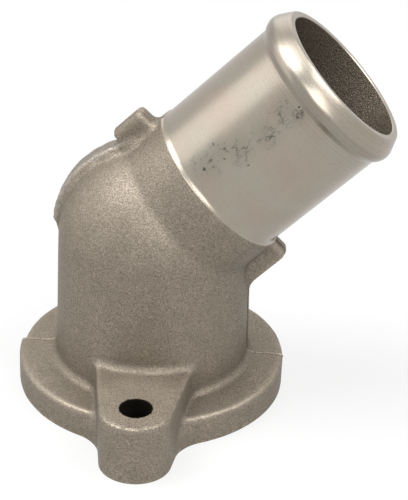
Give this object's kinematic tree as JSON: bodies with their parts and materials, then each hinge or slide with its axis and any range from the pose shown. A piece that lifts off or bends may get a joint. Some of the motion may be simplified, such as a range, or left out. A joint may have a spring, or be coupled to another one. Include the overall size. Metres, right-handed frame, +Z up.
{
  "type": "thermostat housing",
  "caption": "Cast aluminium coolant outlet: a round drafted body on an eared flange, bending under a dome into a slanted hose neck with a turned, beaded spigot.",
  "frame": {"origin": "on the machined sealing face, under the middle of the part's outline; the round body's axis stands 11.4 mm to the -X side of it", "axes": "+Z up, away from the engine, along the body's axis; +X towards the hose mouth, which leans up and out at 45 degrees; the bolt ears point to -Y and +Y"},
  "size_m": [0.0874, 0.093, 0.0947],
  "materials": {
    "cast_alloy": "as cast, fine grain; spigot turned to a satin finish"
  },
  "bodies": {
    "root": {"housing": "cast_alloy"}
  },
  "joints": []
}
